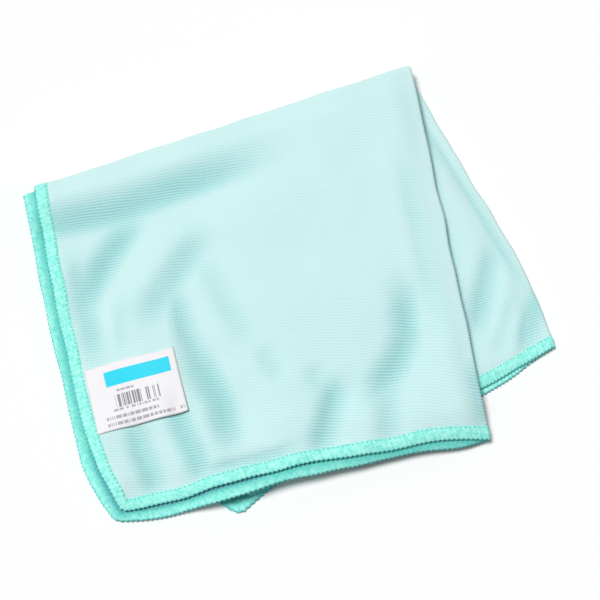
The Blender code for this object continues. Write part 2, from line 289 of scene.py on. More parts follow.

# The ribs run straight across the cloth, a little askew to its folds. They wander by a share of
# the cloth's length. Shade is painted into the grooves between them: a little everywhere, and
# more in patches, near the end hems and in creases.
RIB_SKEW = 0.2
RIB_WANDER = 0.0018
RIB_HEIGHT = 0.1
GROOVES_EVERYWHERE = 0.1
GROOVES_IN_PATCHES = 0.2
GROOVES_NEAR_ENDS = 0.22
GROOVES_IN_CREASES = 1.15

# How strongly the knit takes the painted shade of its creases, the painted shade under another
# layer's edge, and the speckles of its pile
CREASE_SHADE_SHARE = 0.78
UNDER_EDGE_SHADE_SHARE = 0.85
SPECKLE_SHARE = 0.5

# Where the soft steps of the looks begin and end. The first two are in noise, and the third is
# in shares of the cloth's length from its middle. The fourth is in the crease value, which goes
# past 1 only where shade is painted under another layer's edge.
PATCH_STEP = (0.42, 0.62)
NOISE_STEP = (0.3, 0.7)
NEAR_END_STEP = (0.25, 0.44)
UNDER_EDGE_SHADE_STEP = (1.1, 1.9)

# The noise in the looks, in cells to the metre, and the knit's loops, in cells to the cloth
PATCH_CELLS = 30.0
DRIFT_CELLS = 90.0
TUFT_CELLS = 420.0
LABEL_CELLS = 900.0
YARN_PILE_CELLS = 1300.0
PILE_CELLS = 1500.0
LOOPS_ACROSS = 400.0
LOOPS_DOWN = 900.0

# The overlocked hem: stitches round the cloth, its section from the needle line on the face,
# over the edge and back to the needle line underneath, and the depths inside the edge at which
# the sheet that it follows is worked out
STITCH_PITCH = 2.5
STITCH_SAMPLES = 6
SectionRow = namedtuple("SectionRow", "inside height stitch_out stitch_up")
HEM_SECTION = (
    SectionRow(6.70, 0.40, 0.10, 0.00),
    SectionRow(6.35, 0.80, 0.18, 0.05),
    SectionRow(5.20, 0.90, 0.00, 0.06),
    SectionRow(3.60, 0.95, 0.00, 0.07),
    SectionRow(2.00, 0.93, 0.00, 0.08),
    SectionRow(0.80, 0.78, 0.12, 0.10),
    SectionRow(0.05, 0.42, 0.45, 0.06),
    SectionRow(-0.15, 0.00, 0.60, 0.00),
    SectionRow(0.05, -0.42, 0.45, -0.06),
    SectionRow(0.80, -0.78, 0.12, -0.14),
    SectionRow(3.60, -0.95, 0.00, -0.10),
    SectionRow(6.35, -0.80, 0.10, -0.08),
    SectionRow(6.70, -0.40, 0.10, 0.00),
    SectionRow(6.20, 0.00, 0.00, 0.00),
)
HEM_DEPTHS = (0.0, 1.6, 3.3, 5.0, 6.7)

# The strands of its yarn: how many to a stitch and to a millimetre inward, how far they slant,
# and how high they stand
STRANDS_ALONG = 2.6
STRANDS_INWARD = 1.6
STRAND_SLANT = 0.9
YARN_HEIGHT = 0.3
YARN_TONE_STEP = (0.56, 1.0)
# How strongly the yarn takes the shade painted under the edge of the layer above
SHADED_YARN_SHARE = 0.75

# The needle line, and the shade painted on the yarn at the edge: where each lies inside the edge
# and how softly it ends, in which part of a stitch's wave it shows, and how strongly
NEEDLE_INSIDE = 5.9
NEEDLE_WIDTH_STEP = (0.15, 0.5)
NEEDLE_STITCH_STEP = (0.5, 0.8)
NEEDLE_SHARE = 0.5
EDGE_SHADE_WIDTH_STEP = (0.1, 0.9)
EDGE_SHADE_STITCH_STEP = (0.2, 0.8)
EDGE_SHADE_SHARE = 0.25
EDGE_STITCH_SHADE_SHARE = 0.45

# The label, in the plan. Its lower edge comes free of the cloth, from nothing at the hem to the
# full lift at a share of its width. Rays from above all the layers find the cloth under it.
LABEL_CORNER = (-106.9, -75.1)
LABEL_TURN = math.radians(14.2)
LABEL_WIDTH = 49.5
LABEL_HEIGHT = 35.3
LABEL_THICKNESS = 0.3
LABEL_GAP = 0.25
LABEL_FREE_EDGE_LIFT = 1.6
LABEL_FREE_FROM = 2 / 3
LABEL_WAVE = 0.35
LABEL_COLUMNS = 44
LABEL_ROWS = 32
ABOVE_ALL = 100.0
WEAVE_HEIGHT = 0.03

# What is printed on the label, in shares of it. The label's width is cut into cells, and a share
# of those that lie in the box is inked.
PrintedMark = namedtuple("PrintedMark", "left low right high cells share")
BAND = PrintedMark(0.20, 0.655, 0.925, 0.882, 1.0, 1.0)
BARS = PrintedMark(0.265, 0.316, 0.753, 0.513, 130.0, 0.5)
DASHES = (
    PrintedMark(0.225, 0.268, 0.735, 0.303, 90.0, 0.5),
    PrintedMark(0.29, 0.557, 0.49, 0.590, 110.0, 0.6),
    PrintedMark(0.13, 0.155, 0.71, 0.205, 85.0, 0.62),
    PrintedMark(0.13, 0.058, 0.975, 0.108, 85.0, 0.62),
)
BAR_INK = 0.75
DASH_INK = 0.55
THREADS_ACROSS = 160.0
THREADS_UP = 120.0

# The photograph's camera: its aim and tilt, and what its distance is worked out from
CAMERA_AIM = (0.0, 0.0, 4.0)
CAMERA_ELEVATION = math.radians(75.0)
CAMERA_LENS = 90.0
SENSOR_WIDTH = 36.0
PICTURE_PIXELS = 600
MM_PER_PIXEL = 0.545
NEAREST_SEEN = 10.0

# The main light: where it comes from, and how wide it is. The floor is far wider than the view.
KEY_FROM = (-0.32, 0.17, 1.0)
KEY_SPREAD = math.radians(22.0)
FLOOR_HALF_SIZE = 4000.0


def smooth_step(value):
    """Returns 0 up to 0 and 1 from 1 on, with a smooth rise between."""
    value = np.clip(value, 0.0, 1.0)
    return value * value * (3.0 - 2.0 * value)


def unit(vectors):
    """Returns vectors at length 1."""
    return vectors / np.linalg.norm(vectors, axis=-1, keepdims=True)


def soft_noise(places, reach, seed):
    """Returns noise about 0 at some places of two numbers, which changes over a reach."""
    return np.array([noise.noise(Vector((x / reach, y / reach, seed))) for x, y in places])


def edge_points(rows, shares):
    """Returns the points at some shares of an edge, on a smooth curve through its rows."""
    knots = np.array([row.share for row in rows])
    points = np.array([(row.x, row.y) for row in rows])
    slopes = np.gradient(points, knots, axis=0)
    index = np.clip(np.searchsorted(knots, shares, side="right") - 1, 0, len(rows) - 2)
    span = (knots[index + 1] - knots[index])[:, None]
    part = (shares[:, None] - knots[index][:, None]) / span
    start, end = points[index], points[index + 1]
    leave, arrive = slopes[index] * span, slopes[index + 1] * span
    return (
        start * (1 + 2 * part) * (1 - part) ** 2
        + leave * part * (1 - part) ** 2
        + end * part**2 * (3 - 2 * part)
        + arrive * part**2 * (part - 1)
    )


def pinned_edge(rows, shares, first, last):
    """Returns an edge's points, drawn so that the edge starts and ends at two given corners."""
    ends = edge_points(rows, np.array([0.0, 1.0]))
    along = shares[:, None]
    return (
        edge_points(rows, shares)
        + (first - ends[0]) * (1.0 - along)
        + (last - ends[1]) * along
    )


TOP_ALONG = unit(np.array(FOLD_PEAK) - np.array(FACE_TOP_LEFT))
TOP_OUT = np.array([-TOP_ALONG[1], TOP_ALONG[0]])
TOP_INSET = TOP_RADIUS + SIDE_RADIUS + SHEET_THICKNESS / 2
SIDE_INSET = SIDE_RADIUS + SHEET_THICKNESS / 2


def side_out(layer, shares):
    """Returns the way out of the side fold at some shares down it."""
    low = edge_points(layer.side_fold, np.clip(shares - FOLD_SLOPE_SHARE, 0.0, 1.0))
    high = edge_points(layer.side_fold, np.clip(shares + FOLD_SLOPE_SHARE, 0.0, 1.0))
    along = unit(high - low)
    square = np.stack([-along[:, 1], along[:, 0]], axis=1)
    turn = smooth_step(shares * HALF_LENGTH / SIDE_TURN)[:, None]
    return unit(TOP_ALONG * (1.0 - turn) + square * turn)


def side_axis(layer, shares):
    """Returns the middle line of the side fold's roll, which starts on the top fold's axis."""
    line = edge_points(layer.side_fold, shares) - side_out(layer, shares) * SIDE_INSET
    return line - TOP_OUT * TOP_INSET * (1.0 - shares)[:, None]


def panel(layer, across, down):
    """Returns plan points of one layer, from shares across it from the side fold and down it."""
    corner_fold = side_axis(layer, np.array([0.0]))[0]
    corner_end = side_axis(layer, np.array([1.0]))[0]
    corner_top = np.array(layer.top_left) - TOP_OUT * TOP_INSET
    corner_low = np.array([layer.end_hem[-1].x, layer.end_hem[-1].y])
    a, d = across[:, None], down[:, None]
    top = corner_fold * (1 - a) + corner_top * a
    end = pinned_edge(layer.end_hem, across, corner_end, corner_low)
    fold = side_axis(layer, down)
    hem = pinned_edge(layer.side_hem, down, corner_top, corner_low)
    corners = (
        corner_fold * (1 - a) * (1 - d)
        + corner_top * a * (1 - d)
        + corner_end * (1 - a) * d
        + corner_low * a * d
    )
    return top * (1 - d) + end * d + fold * (1 - a) + hem * a - corners


def outline(side_layer, low_layer):
    """Returns a closed outline in the plan: side fold, end hem, and back along the side hem."""
    shares = np.linspace(0.0, 1.0, OUTLINE_STEPS + 1)
    nothing, whole = np.zeros_like(shares), np.ones_like(shares)
    fold = panel(low_layer, nothing, shares)
    end = panel(low_layer, shares, whole)
    hem = panel(side_layer, whole, shares[::-1])
    return np.concatenate([fold, end[1:], hem[1:]])


FACE_OUTLINE = outline(FACE, FACE)
LINING_OUTLINE = outline(LINING, LINING)
UPPER_HEMS = outline(LINING, FACE)[OUTLINE_STEPS:]
FAN_OUTLINE = outline(FAN, BASE)


def depth_inside(loop, points):
    """Returns how far each plan point lies inside a closed outline, less than 0 outside."""
    start, end = loop, np.roll(loop, -1, axis=0)
    run = end - start
    offset = points[:, None, :] - start[None, :, :]
    length = np.maximum((run**2).sum(axis=1), TINY)
    part = np.clip((offset * run).sum(axis=2) / length, 0.0, 1.0)
    distance = np.linalg.norm(offset - part[:, :, None] * run, axis=2).min(axis=1)
    above = (start[None, :, 1] > points[:, None, 1]) != (end[None, :, 1] > points[:, None, 1])
    rise = np.where(np.abs(run[:, 1]) < TINY, TINY, run[:, 1])
    crossing = start[:, 0] + (points[:, None, 1] - start[:, 1]) * run[:, 0] / rise
    inside = (above & (points[:, None, 0] < crossing)).sum(axis=1) % 2 == 1
    return np.where(inside, distance, -distance)


def edge_distance(line, points):
    """Returns how far each plan point lies from an open line."""
    run = line[1:] - line[:-1]
    offset = points[:, None, :] - line[None, :-1, :]
    part = np.clip((offset * run).sum(axis=2) / (run**2).sum(axis=1), 0.0, 1.0)
    return np.linalg.norm(offset - part[:, :, None] * run, axis=2).min(axis=1)


def crease_field(creases, points):
    """Returns how deep the creases lie at some plan points, and how much shade is painted there.
    """
    depth, crease_shade = np.zeros(len(points)), np.zeros(len(points))
    for crease in creases:
        nearest = np.full(len(points), np.inf)
        side, along, passed = np.zeros(len(points)), np.zeros(len(points)), 0.0
        for start, end in zip(crease.path, crease.path[1:]):
            run = np.subtract(end, start)
            offset = points - start
            part = np.clip((offset @ run) / (run @ run), 0.0, 1.0)
            away = np.linalg.norm(offset - part[:, None] * run, axis=1)
            closer = away < nearest
            nearest = np.where(closer, away, nearest)
            side = np.where(closer, run[0] * offset[:, 1] - run[1] * offset[:, 0], side)
            along = np.where(closer, passed + part * np.linalg.norm(run), along)
            passed += np.linalg.norm(run)
        fade = smooth_step(np.minimum(along, passed - along) / (CREASE_TAPER * passed))
        reach = np.where(side > 0, crease.left, crease.right)
        near = np.clip(1.0 - nearest / reach, 0.0, 1.0)
        depth += (crease.depth * fade * near**2 * (2.0 - near)) ** 3
        # Painted shade: over the steep wall, and a little way up the other
        steep = (side > 0) == (crease.left < crease.right)
        far_wall = smooth_step(1.0 - nearest / np.minimum(reach, CREASE_SHADE_REACH))
        wall = np.where(steep, smooth_step(near * STEEP_GAIN), far_wall)
        crease_shade = np.maximum(crease_shade, wall * fade * crease.depth / FULL_SHADE_DEPTH)
    return np.cbrt(depth), crease_shade


def edge_contact_shade(across, down, plan):
    """Returns the shade painted on each lower layer near the edge of the layer above it."""
    edge_shade = np.zeros(len(plan))
    for under, loop, share in (
        ((across > 0) & (down < 0), FACE_OUTLINE, 1.0),
        ((across > 0) & (down > 0), LINING_OUTLINE, FAN_CONTACT),
        ((across < 0) & (down > 0), LINING_OUTLINE, 1.0),
    ):
        near = smooth_step(1.0 + depth_inside(loop, plan[under]) / CONTACT_REACH)
        edge_shade[under] = near * share
    return edge_shade


def relief(creases, rest_lift, points, from_hem, hem_rest=HEM_REST):
    """Returns how far a layer is lifted, never below 0, with its creases pressed into it."""
    lift = UNEVENNESS * soft_noise(points, UNEVEN_REACH, rest_lift)
    lift -= crease_field(creases, points)[0]
    rest = rest_lift * (hem_rest + (1.0 - hem_rest) * smooth_step(from_hem / RELIEF_FADE))
    return np.maximum(rest + lift * smooth_step(from_hem / CREASE_FADE), 0.0)


def around_bend(distance, radius):
    """Returns how far inside a fold's axis a point lies, and its share of the fold's rise."""
    arc = radius * QUARTER_TURN
    angle = np.minimum(distance, arc) / radius
    inside = np.where(distance < arc, -radius * np.cos(angle), distance - arc)
    return inside, np.sin(angle)


def place_layer(layer, across, down):
    """Returns points of one layer, from distances across and down the sheet from its folds."""
    side_inside, side_rise = around_bend(across, SIDE_RADIUS)
    top_inside, top_rise = around_bend(down, TOP_RADIUS)
    across_share = np.clip(side_inside, 0.0, None) / (HALF_WIDTH - SIDE_RADIUS * QUARTER_TURN)
    down_share = np.clip(top_inside, 0.0, None) / (HALF_LENGTH - TOP_RADIUS * QUARTER_TURN)
    strip_radius = TOP_RADIUS + (1 if layer.outer_half else -1) * SIDE_RADIUS * side_rise
    plan = panel(layer, across_share, down_share)
    plan += side_out(layer, down_share) * np.clip(-side_inside, 0.0, None)[:, None]
    plan += TOP_OUT * (np.clip(-top_inside, 0.0, None) / TOP_RADIUS * strip_radius)[:, None]

    rise = TOP_FOLD_HEIGHT + (1 if layer.upper else -1) * strip_radius * top_rise
    fan_depth = depth_inside(FAN_OUTLINE, plan)
    fan_relief = relief(FAN_CREASES, FAN_REST_LIFT, plan, fan_depth)
    fan_relief *= smooth_step((fan_depth - HEM_WIDTH / 2) / CREASE_FADE)
    sag = smooth_step((-fan_depth - SUPPORT_MARGIN) / SAG_REACH)
    sag *= smooth_step(down_share / HELD_BY_FOLD)
    from_hem = edge_distance(UPPER_HEMS, plan)
    hem_rest = HEM_REST - HEM_SETTLE * sag
    upper_relief = relief(UPPER_CREASES, UPPER_REST_LIFT, plan, from_hem, hem_rest)
    upper_relief *= top_rise * (TOP_PUFF + (1.0 - TOP_PUFF) * smooth_step(top_inside / PUFF_REACH))
    upper_relief *= SIDE_PUFF + (1.0 - SIDE_PUFF) * smooth_step(side_inside / PUFF_REACH)
    if layer.upper:
        support = FAN_REST_LIFT * smooth_step(1.0 + fan_depth / SAG_REACH)
        extra_puff = FACE_EXTRA_PUFF if layer is FACE else -FACE_EXTRA_PUFF
        rise += support - SAG_DEPTH * sag
        rise += upper_relief * (MEAN_PUFF + extra_puff * side_rise)
    elif layer is FAN:
        rise += fan_relief
    return np.column_stack([plan, rise])


def folded(across, down):
    """Returns the sheet's middle surface at signed distances from its two folds."""
    points = np.zeros((len(across), 3))
    for layer in LAYERS:
        chosen = ((across < 0) == layer.outer_half) & ((down < 0) == layer.upper)
        points[chosen] = place_layer(layer, np.abs(across[chosen]), np.abs(down[chosen]))
    from_edge = np.minimum(HALF_WIDTH - np.abs(across), HALF_LENGTH - np.abs(down))
    in_hem = smooth_step((HEM_WIDTH * (1.0 + HEM_BLEND) - from_edge) / (HEM_WIDTH * HEM_BLEND))
    points[:, 2] += SHEET_THICKNESS / 2 + (HEM_HALF_THICKNESS - SHEET_THICKNESS / 2) * in_hem
    flat = np.column_stack([across, down])
    for axis in (0, 1):
        points[:, axis] += WANDER * soft_noise(flat, WANDER_REACH, WANDER_APART * axis)
    return points - FOOTPRINT_CENTRE


def stations(half, radius):
    """Returns where the grid's lines lie from a fold to the edge, bunched in the bend."""
    arc = radius * QUARTER_TURN
    bend = np.linspace(0.0, arc, BEND_STEPS + 1)
    return np.concatenate([bend, np.linspace(arc, half - SHEET_INSET, PANEL_STEPS + 1)[1:]])


def both_ways(lines):
    """Returns the lines of one half, mirrored to both sides of the fold."""
    return np.concatenate([-lines[:0:-1], lines])


def round_corners(across, down):
    """Returns the flat square's points with the cloth's corners rounded off."""
    square = HALF_WIDTH - CORNER_RADIUS
    over = np.stack([np.abs(across) - square, np.abs(down) - square], axis=1)
    in_corner = (over > 0).all(axis=1)
    reach = np.linalg.norm(over, axis=1)
    shrink = np.where(in_corner, over.max(axis=1) / np.maximum(reach, TINY), 1.0)
    return tuple(
        np.sign(value) * np.where(in_corner, square + over[:, axis] * shrink, np.abs(value))
        for axis, value in enumerate((across, down))
    )


def flat_grid(columns, rows):
    """Returns a new flat grid and the column and row that each of its points is in."""
    grid = bmesh.new()
    bmesh.ops.create_grid(grid, x_segments=columns, y_segments=rows, size=1.0)
    grid.verts.ensure_lookup_table()
    column = [round((point.co.x + 1.0) / 2.0 * columns) for point in grid.verts]
    row = [round((point.co.y + 1.0) / 2.0 * rows) for point in grid.verts]
    return grid, np.array(column), np.array(row)


def put_points(grid, points):
    """Places a grid's points, given in millimetres."""
    for vertex, point in zip(grid.verts, points):
        vertex.co = Vector(point) * MM


def paint_value(grid, name, values):
    """Gives a grid an attribute with a number for each of its points."""
    layer = grid.verts.layers.float.new(name)
    for vertex, value in zip(grid.verts, values):
        vertex[layer] = float(value)


def paint_map(grid, name, across, up):
    """Gives a grid a UV map with the given place for each of its points."""
    layer = grid.loops.layers.uv.new(name)
    for face in grid.faces:
        for corner in face.loops:
            index = corner.vert.index
            corner[layer].uv = (across[index], up[index])


def finish_piece(name, grid, material):
    """Makes a grid an object of its own on the cloth's body."""
    mesh = bpy.data.meshes.new(name)
    grid.to_mesh(mesh)
    grid.free()
    mesh.shade_smooth()
    mesh.materials.append(material)
    piece = bpy.data.objects.new(name, mesh)
    bpy.context.scene.collection.objects.link(piece)
    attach(piece, "root")
    return piece


class Value:
    """A number in a shader, on which arithmetic adds Math nodes."""

    def __init__(self, graph, output):
        self.graph = graph
        self.output = output

    def maths(self, operation, *others):
        """Adds one Math node on this number and any others."""
        values = enumerate((self, *others))
        return self.graph.node("ShaderNodeMath", {"operation": operation}, values)

    def __add__(self, other):
        return self.maths("ADD", other)

    __radd__ = __add__

    def __sub__(self, other):
        return self.maths("SUBTRACT", other)

    def __rsub__(self, other):
        return (self * -1.0).maths("ADD", other)

    def __mul__(self, other):
        return self.maths("MULTIPLY", other)

    __rmul__ = __mul__

    def above(self, edge):
        """Returns 1 where the number is over the edge, and 0 elsewhere."""
        return self.maths("GREATER_THAN", edge)

    def wave(self, periods):
        """Returns a soft wave between 0 and 1 with a number of periods in each unit."""
        return (self * (2.0 * math.pi * periods)).maths("SINE") * 0.5 + 0.5


class Finish:
    """A material and the nodes in it."""

    def __init__(self, name, roughness, sheen=0.0, sheen_roughness=0.5, specular=0.3):
        self.material = bpy.data.materials.new(name)
        self.material.use_nodes = True
        self.tree = self.material.node_tree
        self.shader = self.tree.nodes["Principled BSDF"]
        self.feed(self.shader.inputs["Roughness"], roughness)
        self.feed(self.shader.inputs["Specular IOR Level"], specular)
        self.feed(self.shader.inputs["Sheen Weight"], sheen)
        self.feed(self.shader.inputs["Sheen Roughness"], sheen_roughness)

    def feed(self, socket, value):
        """Links a value to a socket, or sets the socket to a plain number or colour."""
        if isinstance(value, Value):
            self.tree.links.new(value.output, socket)
        elif socket.type == "RGBA":
            socket.default_value = (*value, 1.0)
        else:
            socket.default_value = value

    def node(self, kind, settings=None, inputs=(), output=0):
        """Adds a node of a type with its settings and inputs, and returns one output."""
        made = self.tree.nodes.new(kind)
        for name, value in (settings or {}).items():
            setattr(made, name, value)
        for name, value in dict(inputs).items():
            self.feed(made.inputs[name], value)
        return Value(self, made.outputs[output])

    def coordinates(self):
        """Returns the place on the piece, in metres."""
        return self.node("ShaderNodeTexCoord", output="Object")

    def map_axes(self, name):
        """Returns the two numbers of a UV map."""
        place = self.node("ShaderNodeUVMap", {"uv_map": name})
        return [self.node("ShaderNodeSeparateXYZ", {}, {0: place}, axis) for axis in (0, 1)]

    def attribute(self, name):
        """Returns a number that the piece's mesh carries."""
        return self.node("ShaderNodeAttribute", {"attribute_name": name}, output="Fac")

    def grain(self, place, scale, detail=2.0, roughness=0.5):
        """Returns soft noise about 0.5, with a number of cells in each unit of its place."""
        inputs = {"Vector": place, "Scale": scale, "Detail": detail, "Roughness": roughness}
        return self.node("ShaderNodeTexNoise", {}, inputs)

    def vector(self, x, y):
        """Returns a vector made of two numbers."""
        return self.node("ShaderNodeCombineXYZ", {}, {0: x, 1: y})

    def mix(self, share, first, second, blend="MIX"):
        """Returns the mix of two colours."""
        settings = {"data_type": "RGBA", "clamp_factor": True, "blend_type": blend}
        return self.node("ShaderNodeMix", settings, {0: share, 6: first, 7: second}, 2)

    def stepped(self, value, low, high):
        """Returns 0 below the low end and 1 above the high end, with a smooth rise between."""
        inputs = {"Value": value, "From Min": low, "From Max": high}
        return self.node("ShaderNodeMapRange", {"interpolation_type": "SMOOTHSTEP"}, inputs)

    def paint(self, colour):
        """Sets the colour."""
        self.feed(self.shader.inputs["Base Color"], colour)

    def emboss(self, relief_share, height):
        """Raises the surface by a share of a height in millimetres."""
        inputs = {"Height": relief_share, "Distance": height * MM}
        self.feed(self.shader.inputs["Normal"], self.node("ShaderNodeBump", {}, inputs))


def microfibre_finish(settings):
    """Makes the ribbed microfibre knit, with shade painted into its grooves, its creases and under
    the edges of the layers above.
    """
    finish = Finish("ribbed microfibre", 0.9, sheen=0.25, sheen_roughness=0.4, specular=0.2)
    across, down = finish.map_axes("sheet")
    place = finish.coordinates()
    crease_shade = finish.attribute("crease")
    patches = finish.stepped(finish.grain(place, PATCH_CELLS, detail=3.0), *PATCH_STEP)
    pile = finish.grain(place, PILE_CELLS, detail=3.0, roughness=0.7)
    wandering = down + finish.grain(place, DRIFT_CELLS) * RIB_WANDER
    ribs = wandering.wave(2 * HALF_LENGTH / (settings.rib_pitch / MM))
    between_ribs = 1.0 - ribs
    groove_shade = between_ribs * between_ribs
    loop_place = finish.vector(across * LOOPS_ACROSS, down * LOOPS_DOWN)
    loops = finish.stepped(finish.grain(loop_place, 1.0), *NOISE_STEP)

    # Painted shade: in the creases, and under another layer's edge
    under_edge_shade = finish.stepped(crease_shade, *UNDER_EDGE_SHADE_STEP)
    colour = finish.mix(crease_shade * CREASE_SHADE_SHARE, settings.rib_colour, settings.crease_shade_colour)
    colour = finish.mix(under_edge_shade * UNDER_EDGE_SHADE_SHARE, colour, settings.shaded_colour)
    near_end = finish.stepped((down - 0.5).maths("ABSOLUTE"), *NEAR_END_STEP)
    shown = patches * GROOVES_IN_PATCHES + near_end * GROOVES_NEAR_ENDS
    shown = shown + crease_shade * GROOVES_IN_CREASES + GROOVES_EVERYWHERE
    # Painted shade in the grooves between the ribs, with the pile's speckles
    tint = groove_shade * (loops * 0.6 + 0.4) * shown + (pile - 0.5) * SPECKLE_SHARE
    finish.paint(finish.mix(tint, colour, settings.groove_shade_colour, "MULTIPLY"))
    finish.emboss(ribs * (patches * 0.3 + crease_shade * 0.4 + 0.3) + pile * 0.5, RIB_HEIGHT)
    return finish.material


def yarn_finish(settings):
    """Makes the turquoise overlock yarn: fine strands across the hem, the needle line, and shade
    painted on its edge and under the edge of the layer above.
    """
    finish = Finish("overlock yarn", 0.85, sheen=0.08, sheen_roughness=0.4, specular=0.15)
    along, inward = finish.map_axes("stitch")
    place = finish.coordinates()
    strand_along = along * STRANDS_ALONG + inward * STRAND_SLANT
    strands = finish.grain(finish.vector(strand_along, inward * STRANDS_INWARD), 1.0)
    pile = finish.grain(place, YARN_PILE_CELLS, detail=3.0, roughness=0.7)
    tufts = finish.grain(place, TUFT_CELLS)
    stitch = along.wave(1.0)
    from_needle = (inward - NEEDLE_INSIDE).maths("ABSOLUTE")
    needle = 1.0 - finish.stepped(from_needle, *NEEDLE_WIDTH_STEP)
    needle = needle * finish.stepped(stitch, *NEEDLE_STITCH_STEP)
    shaded_edge = 1.0 - finish.stepped(inward, *EDGE_SHADE_WIDTH_STEP)
    edge_stitch_shade = finish.stepped(stitch, *EDGE_SHADE_STITCH_STEP)

    tone = finish.stepped(strands * 0.5 + pile * 0.5 + tufts * 0.6, *YARN_TONE_STEP)
    colour = finish.mix(tone, settings.dark_colour, settings.light_colour)
    dots = needle * finish.stepped(tufts, *NOISE_STEP) * NEEDLE_SHARE
    colour = finish.mix(dots, colour, settings.needle_and_edge_shade_colour)
    # Painted shade under the edge of the layer above
    shade = finish.attribute("shade") * SHADED_YARN_SHARE
    colour = finish.mix(shade, colour, settings.shaded_colour)
    # Painted shade on the yarn at the hem's edge, stronger in a part of each stitch
    edge_shade_share = shaded_edge * (edge_stitch_shade * EDGE_STITCH_SHADE_SHARE + EDGE_SHADE_SHARE)
    finish.paint(finish.mix(edge_shade_share, colour, settings.needle_and_edge_shade_colour))
    finish.emboss(strands * 0.6 + tufts * 0.5 + pile * 0.5 - needle * 0.8, YARN_HEIGHT)
    return finish.material


def label_finish(settings):
    """Makes the satin label with a plain band, a block of bars and rows of dashes."""
    finish = Finish("satin label", 0.5, specular=0.25)
    across, up = finish.map_axes("label")

    def inked(mark):
        """Returns 1 on the ink of a printed mark and 0 elsewhere."""
        in_width = across.above(mark.left) * (1.0 - across.above(mark.right))
        in_height = up.above(mark.low) * (1.0 - up.above(mark.high))
        cell = (across * mark.cells).maths("FLOOR")
        chance = finish.node("ShaderNodeTexWhiteNoise", {"noise_dimensions": "1D"}, {"W": cell})
        return in_width * in_height * (1.0 - chance.above(mark.share))

    threads = finish.grain(finish.coordinates(), LABEL_CELLS)
    colour = finish.mix(threads, settings.shade_colour, settings.ground_colour)
    colour = finish.mix(inked(BAND), colour, settings.band_colour)
    ink = inked(BARS) * BAR_INK
    for row in DASHES:
        ink = ink + inked(row) * DASH_INK
    finish.paint(finish.mix(ink, colour, settings.ink_colour))
    finish.emboss(across.wave(THREADS_ACROSS) * up.wave(THREADS_UP), WEAVE_HEIGHT)
    return finish.material


def perimeter():
    """Returns the cloth's edge round its rounded corners: points and ways out, at even steps."""
    straight = 2.0 * (HALF_WIDTH - CORNER_RADIUS)
    arc = CORNER_RADIUS * QUARTER_TURN
    side = straight + arc
    count = round(4.0 * side / STITCH_PITCH) * STITCH_SAMPLES
    travelled = np.arange(count + 1) * (4.0 * side / count)
    turn = (travelled // side).astype(int) % 4
    run = travelled % side
    angle = np.clip((run - straight) / arc, 0.0, 1.0) * QUARTER_TURN
    square = straight / 2
    x = np.where(run < straight, HALF_WIDTH, square + CORNER_RADIUS * np.cos(angle))
    y = np.where(run < straight, run - square, square + CORNER_RADIUS * np.sin(angle))
    out_x, out_y = np.cos(angle), np.sin(angle)
    for _ in range(3):
        turned = turn > 0
        x, y = np.where(turned, -y, x), np.where(turned, x, y)
        out_x, out_y = np.where(turned, -out_y, out_x), np.where(turned, out_x, out_y)
        turn = turn - 1
    return np.stack([x, y], axis=1), np.stack([out_x, out_y], axis=1)


def colour_setting(name, description, default):
    """Returns a colour that the panel shows."""
    return bpy.props.FloatVectorProperty(
        name=name, description=description, default=default, subtype="COLOR"
    )


class ClothSettings(bpy.types.PropertyGroup):
    """Sizes and colours of the ribbed sheet."""

    rib_pitch: bpy.props.FloatProperty(
        name="Rib pitch",
        description="From one rib to the next",
        default=1.57 * MM,
        subtype="DISTANCE",
    )
    rib_colour: colour_setting("Ribs", "Colour on top of the ribs", (0.585, 0.81, 0.805))
    # Painted shade in the grooves between the ribs
    groove_shade_colour: colour_setting("Grooves", "Painted shade between the ribs", (0.56, 0.80, 0.80))
    # Painted shade under the edge of another layer
    shaded_colour: colour_setting(
        "Shaded", "Painted shade under the edge of another layer", (0.10, 0.38, 0.44)
    )
    # Painted shade in the creases
    crease_shade_colour: colour_setting(
        "Creases", "Painted shade where the cloth is creased", (0.39, 0.71, 0.71)
    )


class HemSettings(bpy.types.PropertyGroup):
    """Colours of the overlock yarn."""

    light_colour: colour_setting("Yarn", "Colour of the yarn", (0.45, 0.98, 0.86))
    dark_colour: colour_setting("Yarn shade", "Colour between the strands", (0.16, 0.75, 0.67))
    # Painted shade on the yarn under the edge of another layer
    shaded_colour: colour_setting(
        "Shaded yarn", "Painted shade under the edge of another layer", (0.05, 0.47, 0.43)
    )
    # Colour of the needle holes, and of the shade painted on the hem's edge
    needle_and_edge_shade_colour: colour_setting(
        "Needle line", "Colour of the stitch holes and of the edge's shade", (0.015, 0.36, 0.42)
    )


class LabelSettings(bpy.types.PropertyGroup):
    """Colours of the label."""

    ground_colour: colour_setting("Ground", "Colour of the ribbon", (0.86, 0.84, 0.86))
    shade_colour: colour_setting("Ground shade", "Colour between its threads", (0.80, 0.79, 0.81))
    band_colour: colour_setting("Band", "Colour of the printed band", (0.015, 0.66, 0.84))
    ink_colour: colour_setting("Ink", "Colour of the bars and dashes", (0.08, 0.08, 0.10))


class StageSettings(bpy.types.PropertyGroup):
    """Light and floor."""

    key_strength: bpy.props.FloatProperty(
        name="Key light", description="Strength of the main soft light", default=2.95
    )
    sky_strength: bpy.props.FloatProperty(
        name="Sky", description="Strength of the even light from all round", default=0.22
    )
    floor_colour: colour_setting("Floor", "Colour of the floor", (0.9, 0.9, 0.9))


